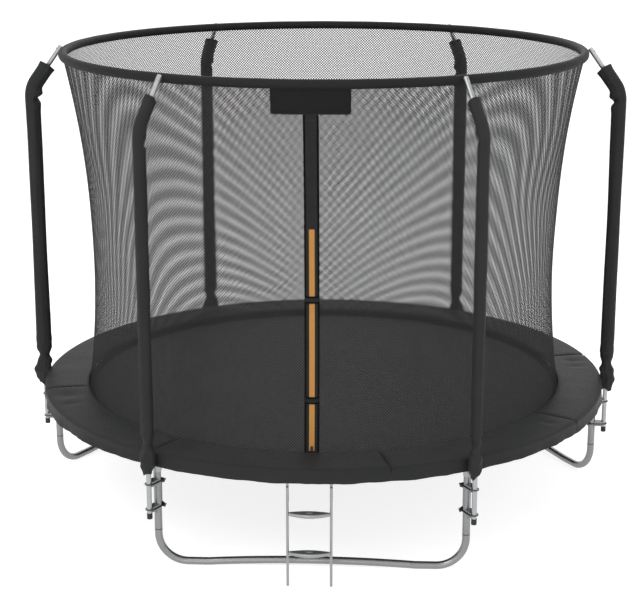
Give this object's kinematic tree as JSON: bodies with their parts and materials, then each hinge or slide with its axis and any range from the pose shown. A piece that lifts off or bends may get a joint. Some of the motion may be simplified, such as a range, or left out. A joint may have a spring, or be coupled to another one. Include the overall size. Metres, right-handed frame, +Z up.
{
  "type": "trampoline",
  "caption": "Round garden trampoline with a waisted safety net on padded poles, a zipped entry strip, U-shaped steel legs, a padded spring cover and a hook-on ladder.",
  "frame": {"origin": "on the ground, under the centre of the jumping mat", "axes": "+Z up; -Y towards the entry and the ladder; +X to the right as seen from the ladder"},
  "size_m": [3.2044, 3.1016, 2.407],
  "materials": {
    "frame_steel": "hot galvanised tube, satin",
    "pole_steel": "galvanised tube, satin",
    "ladder_steel": "galvanised tube and pressed sheet, satin",
    "clamp_zinc": "zinc plated",
    "spring_steel": "galvanised spring wire",
    "slider_plastic": "moulded, matt",
    "sign_vinyl": "coated cloth plate, plain",
    "sleeve_fabric": "coated cloth over foam, slightly creased",
    "net_mesh": "fine knitted mesh",
    "webbing": "woven tape",
    "zip_orange": "orange woven tape",
    "mat_weave": "tight plastic weave",
    "pad_vinyl": "coated cloth over foam, low sheen"
  },
  "bodies": {
    "frame": {"frame_rail_1": "frame_steel", "frame_rail_2": "frame_steel", "frame_rail_3": "frame_steel", "frame_rail_4": "frame_steel", "frame_rail_5": "frame_steel", "frame_rail_6": "frame_steel", "rail_socket_1": "frame_steel", "rail_socket_2": "frame_steel", "rail_socket_3": "frame_steel", "rail_socket_4": "frame_steel", "rail_socket_5": "frame_steel", "rail_socket_6": "frame_steel", "leg_upright_1": "frame_steel", "leg_upright_2": "frame_steel", "leg_upright_3": "frame_steel", "leg_upright_4": "frame_steel", "leg_upright_5": "frame_steel", "leg_upright_6": "frame_steel", "leg_base_1": "frame_steel", "leg_base_2": "frame_steel", "leg_base_3": "frame_steel", "enclosure_pole_1": "pole_steel", "enclosure_pole_2": "pole_steel", "enclosure_pole_3": "pole_steel", "enclosure_pole_4": "pole_steel", "enclosure_pole_5": "pole_steel", "enclosure_pole_6": "pole_steel", "pole_sleeve_1": "sleeve_fabric", "pole_sleeve_2": "sleeve_fabric", "pole_sleeve_3": "sleeve_fabric", "pole_sleeve_4": "sleeve_fabric", "pole_sleeve_5": "sleeve_fabric", "pole_sleeve_6": "sleeve_fabric", "pole_clamp_1": "clamp_zinc", "pole_clamp_2": "clamp_zinc", "pole_clamp_3": "clamp_zinc", "pole_clamp_4": "clamp_zinc", "pole_clamp_5": "clamp_zinc", "pole_clamp_6": "clamp_zinc", "top_ring": "pole_steel", "ring_hem": "sleeve_fabric", "net_panel_1": "net_mesh", "net_panel_2": "net_mesh", "net_panel_3": "net_mesh", "net_panel_4": "net_mesh", "net_panel_5": "net_mesh", "net_panel_6": "net_mesh", "net_band": "webbing", "entry_strip": "webbing", "zip_tape": "zip_orange", "sign_plate": "sign_vinyl", "springs": "spring_steel", "safety_pad": "pad_vinyl"},
    "mat": {"jump_mat": "mat_weave", "mat_edge": "webbing"},
    "ladder": {"ladder_rail_left": "ladder_steel", "ladder_rail_right": "ladder_steel", "ladder_step_lower": "ladder_steel", "ladder_step_upper": "ladder_steel"},
    "slider": {"zip_slider": "slider_plastic"}
  },
  "joints": [
    {"name": "mat_bounce", "type": "slide", "parent": "frame", "child": "mat", "axis": [0, 0, -1], "range_m": [0, 0.25], "stiffness_N_per_m": 6000, "springref_m": -0.01, "deforming": ["springs", "net_band"]},
    {"name": "ladder_swing", "type": "hinge", "parent": "frame", "child": "ladder", "pos_m": [0, -1.49995, 0.556], "axis": [-1, 0, 0], "range_deg": [0, 12]},
    {"name": "zip_slide", "type": "hinge", "parent": "frame", "child": "slider", "pos_m": [0, -6.34524, 1.26], "axis": [1, 0, 0], "range_deg": [0, 11.9]}
  ]
}
